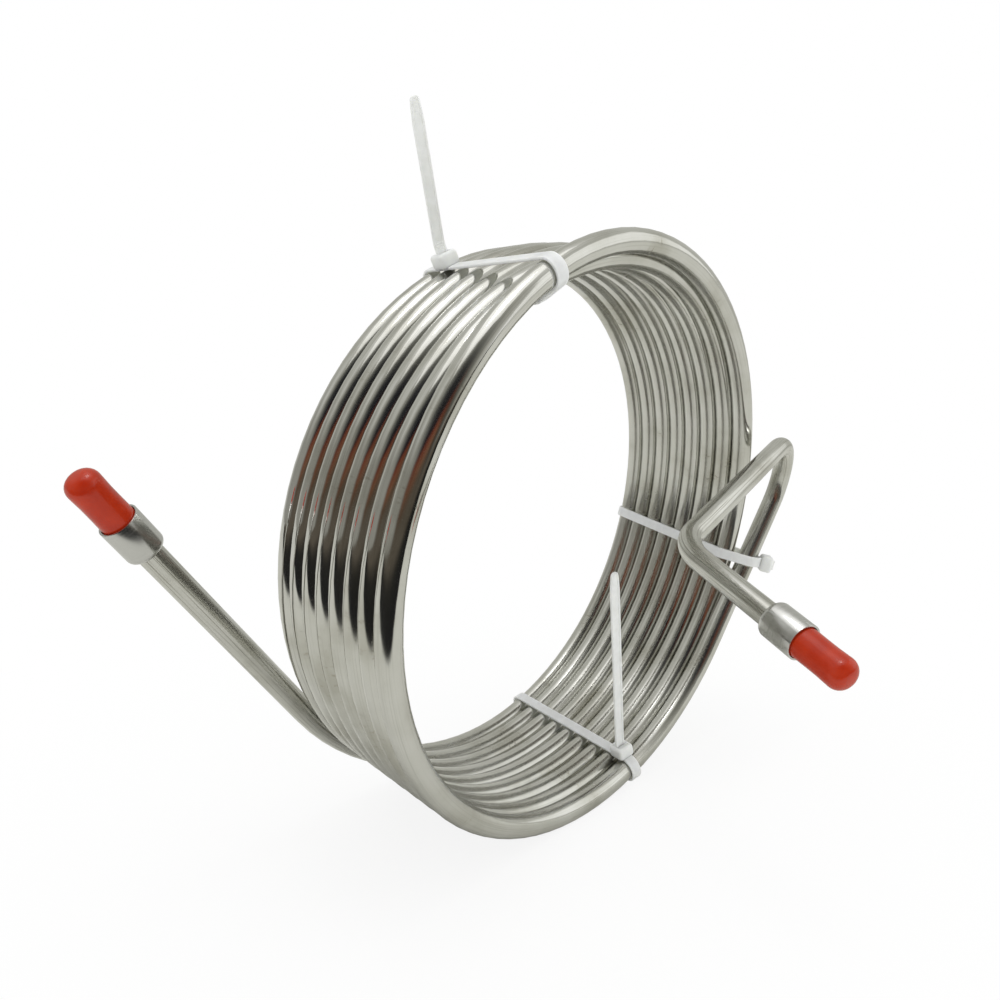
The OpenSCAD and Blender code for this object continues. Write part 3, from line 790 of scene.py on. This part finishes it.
def white_paper():
    """A white sheet. The camera sees it as pure white, with a little of its own
    shading near the part, which keeps the shadow. In the metal the sheet shows
    as a painted dimmer copy. Past a line in front of the part, a painted dark
    table shows instead: an emission that only reflections see."""
    material, tree = start("white_paper_sheet")
    place = add(tree, "TexCoord").outputs["Object"]
    path = add(tree, "LightPath")
    glossy = path.outputs["Is Glossy Ray"]
    paper = add(tree, "BsdfDiffuse", {"Color": linear("#f7f7f5")})
    bright = add(tree, "Emission", {"Color": WHITE, "Strength": 1.0})
    far = add(tree, "VectorMath", {0: place}, operation="LENGTH")
    near = add(tree, "MapRange", {"Value": far, "From Min": 0.10, "From Max": 0.36,
                                  "To Min": 0.13, "To Max": 0.0},
               interpolation_type="SMOOTHSTEP")
    seen = add(tree, "MixShader", {0: near, 1: bright, 2: paper})
    # Painted reflection: glossy rays that land past 0.265 m in front of the part see an emission
    # in dark table colours; no table is there.
    ahead = add(tree, "VectorMath", {0: place, 1: -VIEW}, operation="DOT_PRODUCT")
    reach = add(tree, "MapRange", {"Value": ahead, "From Max": 1.5})
    colour = add(tree, "ValToRGB", {"Fac": reach}, stops=(
        (0.13, "#c9c7bd"), (0.145, "#202022"), (0.36, "#2b2a27"), (0.62, "#5d564c")))
    painted_table_reflection = add(tree, "Emission", {"Color": colour, "Strength": 1.0})
    past = add(tree, "MapRange", {"Value": ahead, "From Min": 0.255, "From Max": 0.275})
    shiny = add(tree, "Math", {0: past, 1: glossy}, operation="MULTIPLY")
    # Painted shade in reflections: glossy rays see this dimmer copy of the paper.
    dimmed_paper_reflection = add(tree, "BsdfDiffuse", {"Color": linear("#d6d5cd")})
    sheet = add(tree, "MixShader", {0: glossy, 1: paper, 2: dimmed_paper_reflection})
    lit = add(tree, "MixShader", {0: shiny, 1: sheet, 2: painted_table_reflection})
    both = add(tree, "MixShader", {0: path.outputs["Is Camera Ray"], 1: lit, 2: seen})
    add(tree, "OutputMaterial", {"Surface": both})
    return material


def lay_floor():
    disc = bmesh.new()
    bmesh.ops.create_circle(disc, cap_ends=True, segments=64, radius=6.0)
    data = bpy.data.meshes.new("paper_floor")
    disc.to_mesh(data)
    disc.free()
    paper_floor = bpy.data.objects.new("paper_floor", data)
    bpy.context.scene.collection.objects.link(paper_floor)
    data.materials.append(white_paper())


def build_room():
    """Soft even light from all round, and a room for the metal to mirror. The
    camera sees white. The ranges of "into" and "across" are cosines."""
    world = bpy.data.worlds.new("studio")
    bpy.context.scene.world = world
    world.use_nodes = True
    tree = world.node_tree
    tree.nodes.clear()
    direction = add(tree, "TexCoord").outputs["Generated"]
    up = add(tree, "SeparateXYZ", {0: direction}).outputs["Z"]
    into = add(tree, "VectorMath", {0: direction, 1: VIEW}, operation="DOT_PRODUCT")
    across = add(tree, "VectorMath", {0: direction, 1: ACROSS}, operation="DOT_PRODUCT")
    # The dark side of the room, by height: table, brown cupboards, unlit wall.
    dark = add(tree, "ValToRGB", {"Fac": up}, stops=(
        (0.0, "#5d564c"), (0.12, "#5a4a3c"), (0.22, "#74503c"), (0.36, "#6e3a28"),
        (0.44, "#2a2022"), (0.52, "#15161b")))
    # The lit side, by the angle away from the camera: dark, grey, then pale.
    ahead = add(tree, "MapRange", {"Value": into, "From Min": -1.0, "From Max": 1.0})
    pale = add(tree, "ValToRGB", {"Fac": ahead}, stops=(
        (0.10, "#15161b"), (0.20, "#6e6e68"), (0.30, "#a9a8a0"), (0.42, "#cfcfca"),
        (0.60, "#c2c2bb")))
    side = add(tree, "MapRange", {"Value": into, "From Min": -0.86, "From Max": -0.62})
    walls = add(tree, "Mix", {"Factor": side, "A": dark, "B": pale}, data_type="RGBA")
    # A grey wall on the left, below the height of the lamps.
    grey = add(tree, "MapRange", {"Value": across, "From Min": 0.35, "From Max": -0.25})
    for value, none, full in ((up, 0.64, 0.40), (into, 0.72, 0.30), (into, -0.86, -0.66)):
        limit = add(tree, "MapRange", {"Value": value, "From Min": none, "From Max": full})
        grey = add(tree, "Math", {0: grey, 1: limit}, operation="MULTIPLY")
    walls = add(tree, "Mix", {"Factor": grey, "A": walls, "B": linear("#989790")},
                data_type="RGBA")
    roof = add(tree, "MapRange", {"Value": up, "From Min": 0.80, "From Max": 0.95})
    room = add(tree, "Mix", {"Factor": roof, "A": walls, "B": linear("#e7e6e2")},
               data_type="RGBA")
    path = add(tree, "LightPath")
    camera_ray, glossy = path.outputs["Is Camera Ray"], path.outputs["Is Glossy Ray"]
    shown = add(tree, "Mix", {"Factor": camera_ray, "A": room, "B": WHITE}, data_type="RGBA")
    back = add(tree, "Background", {"Color": shown, "Strength": 1.0})
    soft = add(tree, "Background", {"Color": linear("#f2f3f4"), "Strength": 1.0})
    either = add(tree, "Math", {0: camera_ray, 1: glossy}, operation="MAXIMUM")
    mixed = add(tree, "MixShader", {0: either, 1: soft, 2: back})
    add(tree, "OutputWorld", {"Surface": mixed})


PART_MIDDLE = Vector((0.0, 0.0, 0.12))


def softbox(name, place, size, watts):
    light = bpy.data.lights.new(name, "AREA")
    light.shape = "RECTANGLE"
    light.size, light.size_y = size
    light.energy = watts
    lamp = bpy.data.objects.new(name, light)
    bpy.context.scene.collection.objects.link(lamp)
    lamp.location = place
    lamp.rotation_euler = (PART_MIDDLE - Vector(place)).to_track_quat("-Z", "Y").to_euler()


def set_camera(place, heading, roll, tilt, lens):
    camera = bpy.data.objects.new("camera", bpy.data.cameras.new("camera"))
    bpy.context.scene.collection.objects.link(camera)
    camera.data.sensor_width = 36.0
    camera.data.lens = lens
    camera.data.clip_start = 0.01
    camera.matrix_world = shift(*place) @ about("Z", heading) @ about("Y", roll) @ about("X", tilt)
    bpy.context.scene.camera = camera


lay_floor()
build_room()
softbox("key_softbox", (-0.15, -0.2, 1.6), (1.3, 1.3), 2.5)
softbox("top_softbox", (-0.15, -0.2, 1.55), (0.4, 0.4), 2.2)
softbox("fill_softbox", (1.7, -1.0, 1.0), (1.8, 1.6), 4)
set_camera((-0.24998, -0.30654, 0.20553), heading=-37.723, roll=0.384, tilt=79.881, lens=31.83)
bpy.context.scene.view_settings.view_transform = "Standard"
